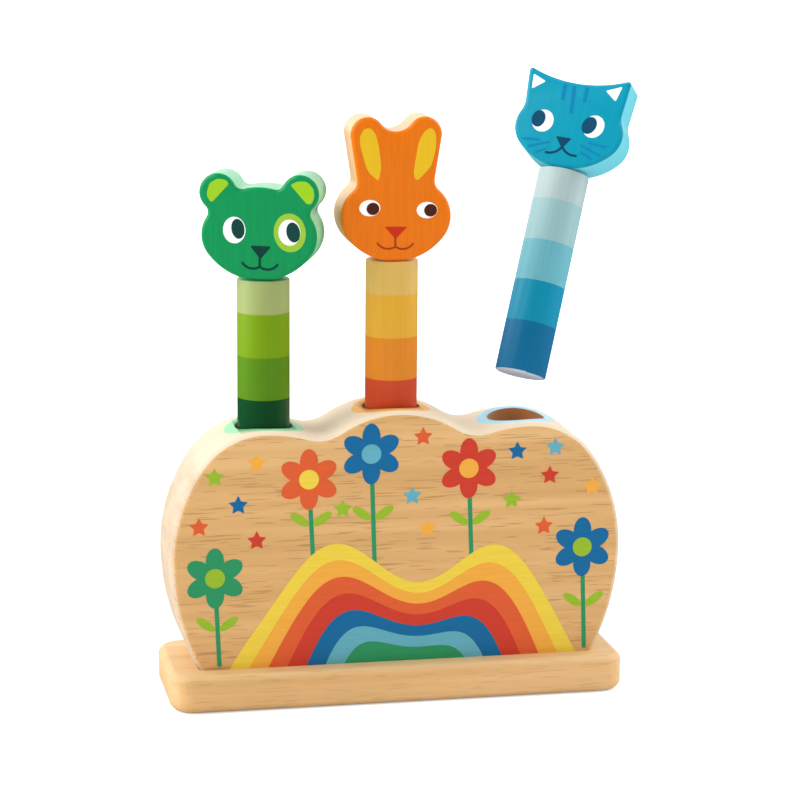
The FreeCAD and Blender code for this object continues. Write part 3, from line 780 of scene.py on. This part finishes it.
printLook = {
    "origin": (0, -18 * mm, 14.5 * mm),
    "roughness": 0.42,
    "grainDepth": 0.03,
    "shades": {
        "Yellow": colour(236, 206, 66),
        "Amber": colour(240, 170, 62),
        "Orange": colour(222, 92, 44),
        "Red": colour(206, 58, 38),
        "Blue": colour(0, 104, 158),
        "Sky": colour(96, 172, 190),
        "Green": colour(40, 148, 96),
        "Lime": colour(150, 186, 40),
    },
    "hillOrder": ("Yellow", "Amber", "Orange", "Red", "Blue", "Sky", "Green"),
    "hillHalfWidth": 68,
    "hillCentre": 2.5,
    "hillHeight": 40,
    "hillWave": 9,
    "hillWaveLength": 70,
    "hillWavePeak": -27,
    "hillFlankPower": 4,
    "hillSteps": 64,
    "lowestHill": 0.02,
    "firstHillLayer": 2,
    "bandNarrowing": 7.4,
    "bandLowering": 5.2,
    "bandFlattening": 0.9,
    # place of the flower's head, petal colour, heart colour, height of the ground under it
    "flowers": [((-71, 36), "Green", "Lime", 2), ((-35, 73), "Orange", "Yellow", 44),
                ((-11, 82), "Blue", "Sky", 38), ((27, 75), "Red", "Amber", 38),
                ((72.5, 42), "Blue", "Lime", 2)],
    "stemWidth": 1.7,
    "stemLean": 1.5,
    "leafHalfLength": 4.2,
    "leafHalfWidth": 1.7,
    "leafReach": 4.4,
    "leafDrop": 1,
    "leafTilt": 35,
    "petals": 6,
    "petalHalfLength": 5.2,
    "petalHalfWidth": 3.5,
    "petalReach": 6.6,
    "firstPetalAngle": 30,
    "heartRadius": 3.8,
    "starTips": 5,
    "starRadius": 3.9,
    "starWaist": 0.5,
    "starRounding": 0.35,
    "starSegments": 3,
    "stars": [((-77, 56), "Orange"), ((-62, 64), "Blue"), ((-55, 80), "Amber"),
              ((-55, 50), "Red"), ((-71, 75), "Lime"), ((-22, 61), "Lime"),
              ((5, 65), "Sky"), ((9, 88), "Orange"), ((11, 52), "Amber"),
              ((46, 81), "Blue"), ((44, 62), "Lime"), ((59, 71), "Red"),
              ((57, 51), "Orange"), ((76, 66), "Amber"), ((61, 82), "Sky")],
}


def around(centre, reach, angle):
    return (centre[0] + reach * math.cos(angle), centre[1] + reach * math.sin(angle))


def addHills(mesh, look, order):
    # two-humped bands, each one lower and narrower than the one behind it
    for band, shade in enumerate(look["hillOrder"]):
        halfWidth = look["hillHalfWidth"] - band * look["bandNarrowing"]
        height = look["hillHeight"] - band * look["bandLowering"]
        wave = look["hillWave"] - band * look["bandFlattening"]
        before = set(mesh.faces)
        made = bmesh.ops.create_grid(mesh, x_segments=look["hillSteps"], y_segments=1, size=1)
        for vert in made["verts"]:
            across, up = vert.co.x, (vert.co.y + 1) / 2
            place = look["hillCentre"] + across * halfWidth
            turn = 2 * math.pi * (place - look["hillWavePeak"]) / look["hillWaveLength"]
            flank = 1 - across ** look["hillFlankPower"]
            ground = max(flank * (height + wave * math.cos(turn)), look["lowestHill"])
            vert.co = (place, up * ground, -sheetLook["sink"])
        thickenNew(mesh, before, band + look["firstHillLayer"], order[shade])


def addFlower(mesh, look, order, head, petalShade, heartShade, ground):
    foot = (head[0] + look["stemLean"], ground)
    addStroke(mesh, foot, None, head, look["stemWidth"], order["Green"])
    middle = (Vector(foot) + Vector(head)) / 2
    for side in (-1, 1):
        addOval(mesh, (middle.x + side * look["leafReach"], middle.y - look["leafDrop"]),
                look["leafHalfLength"], look["leafHalfWidth"], order["Lime"], layer=0.5,
                tilt=side * look["leafTilt"])
    for petal in range(look["petals"]):
        angle = 2 * math.pi * petal / look["petals"] + math.radians(look["firstPetalAngle"])
        addOval(mesh, around(head, look["petalReach"], angle), look["petalHalfLength"],
                look["petalHalfWidth"], order[petalShade], layer=1 + petal % 2,
                tilt=math.degrees(angle))
    addOval(mesh, head, look["heartRadius"], look["heartRadius"], order[heartShade], layer=3)


def addStar(mesh, look, centre, material):
    corners = []
    for tip in range(2 * look["starTips"]):
        reach = look["starRadius"] * (1 if tip % 2 == 0 else look["starWaist"])
        corners.append(around(centre, reach, math.pi / 2 + tip * math.pi / look["starTips"]))
    addPatch(mesh, corners, material, rounding=look["starRounding"],
             segments=look["starSegments"])


def makeFrontPrint(look):
    order = {name: index for index, name in enumerate(look["shades"])}
    mesh = bmesh.new()
    addHills(mesh, look, order)
    for head, petalShade, heartShade, ground in look["flowers"]:
        addFlower(mesh, look, order, head, petalShade, heartShade, ground)
    for centre, shade in look["stars"]:
        addStar(mesh, look, centre, order[shade])
    space = Matrix.Translation(look["origin"])
    paints = [makePaint("print" + name, shade, space, look["roughness"], look["grainDepth"],
                        paintLook["acrossGrain"])
              for name, shade in look["shades"].items()]
    finishSheet("frontPrint", mesh, space, paints, "block")


makeFrontPrint(printLook)
print("stage: front print")


floorLook = {"half": 9.0, "drop": 0.2 * mm, "shade": 0.9, "mirrored": 0.06, "glow": 0.4,
             "roughness": 0.9}


def makeFloor(look):
    mesh = bmesh.new()
    bmesh.ops.create_grid(mesh, x_segments=1, y_segments=1, size=look["half"])
    data = bpy.data.meshes.new("floor")
    mesh.to_mesh(data)
    mesh.free()
    floor = bpy.data.objects.new("floor", data)
    floor.location = (0, 0, -look["drop"])
    bpy.context.scene.collection.objects.link(floor)
    material, tree, shader = newMaterial("floorWhite", look["roughness"], sheen=0.0)
    path = addNode(tree, "LightPath").outputs
    # gloss on the toy shows hardly any of the floor, which keeps its colours deep
    shade = mixed(tree, path["Is Glossy Ray"], scaled(white, look["shade"]),
                  scaled(white, look["mirrored"]))
    put(tree, shader.inputs["Base Color"], shade)
    shader.inputs["Emission Color"].default_value = white
    put(tree, shader.inputs["Emission Strength"],
        calculate(tree, "MULTIPLY", path["Is Camera Ray"], look["glow"]))
    data.materials.append(material)


worldLook = {"light": 0.56, "mirroredBackdrop": 1.2}


def makeWorld(look):
    # white to the camera, an even light for the rest, and gloss shows only a backdrop at +Y
    world = bpy.data.worlds.new("studio")
    bpy.context.scene.world = world
    world.use_nodes = True
    tree = world.node_tree
    path = addNode(tree, "LightPath").outputs
    seen, glossy = path["Is Camera Ray"], path["Is Glossy Ray"]
    direction = splitPoint(tree, addNode(tree, "TexCoord").outputs["Generated"])
    behind = calculate(tree, "MAXIMUM", calculate(tree, "MULTIPLY", direction["Y"],
                                                  look["mirroredBackdrop"]))
    rest = calculate(tree, "SUBTRACT", calculate(tree, "SUBTRACT", 1.0, seen), glossy)
    even = calculate(tree, "MULTIPLY", rest, look["light"])
    strength = calculate(tree, "ADD", calculate(tree, "ADD", seen, even),
                         calculate(tree, "MULTIPLY", glossy, behind))
    background = tree.nodes["Background"]
    put(tree, background.inputs["Strength"], strength)
    background.inputs["Color"].default_value = white


# broad soft lights from above on the left and the right
lampLook = {
    "left": {"towards": (0.94, -0.06, -0.6), "strength": 3.1, "softness": 62},
    "right": {"towards": (-0.9, -0.12, -0.56), "strength": 2.25, "softness": 60},
}


def addLamp(name, look):
    light = bpy.data.lights.new(name + "Light", "SUN")
    light.energy = look["strength"]
    light.angle = math.radians(look["softness"])
    lamp = bpy.data.objects.new(name + "Light", light)
    towards = Vector(look["towards"])
    lamp.rotation_euler = towards.to_track_quat("-Z", "Y").to_euler()
    lamp.location = -towards
    bpy.context.scene.collection.objects.link(lamp)


cameraLook = {"azimuth": 11.69, "elevation": 11.54, "roll": 0.44, "distance": 1.0683,
              "target": (0.00362, 0, 0.11330), "lens": 124.83, "sensorWidth": 36}


def placeCamera(look):
    azimuth, elevation, roll = (math.radians(look[key])
                                for key in ("azimuth", "elevation", "roll"))
    ahead = Vector((math.sin(azimuth) * math.cos(elevation),
                    math.cos(azimuth) * math.cos(elevation), -math.sin(elevation)))
    right = Vector((math.cos(azimuth), -math.sin(azimuth), 0))
    upward = right.cross(ahead)
    sideways = right * math.cos(roll) + upward * math.sin(roll)
    upright = upward * math.cos(roll) - right * math.sin(roll)
    place = Vector(look["target"]) - ahead * look["distance"]
    camera = bpy.data.objects.new("camera", bpy.data.cameras.new("camera"))
    camera.data.lens = look["lens"]
    camera.data.sensor_width = look["sensorWidth"]
    camera.matrix_world = (Matrix.Translation(place)
                           @ Matrix((sideways, upright, -ahead)).transposed().to_4x4())
    bpy.context.scene.collection.objects.link(camera)
    bpy.context.scene.camera = camera


makeFloor(floorLook)
makeWorld(worldLook)
for name, look in lampLook.items():
    addLamp(name, look)
placeCamera(cameraLook)
bpy.context.scene.view_settings.view_transform = "Standard"
print("stage: floor, light and camera")
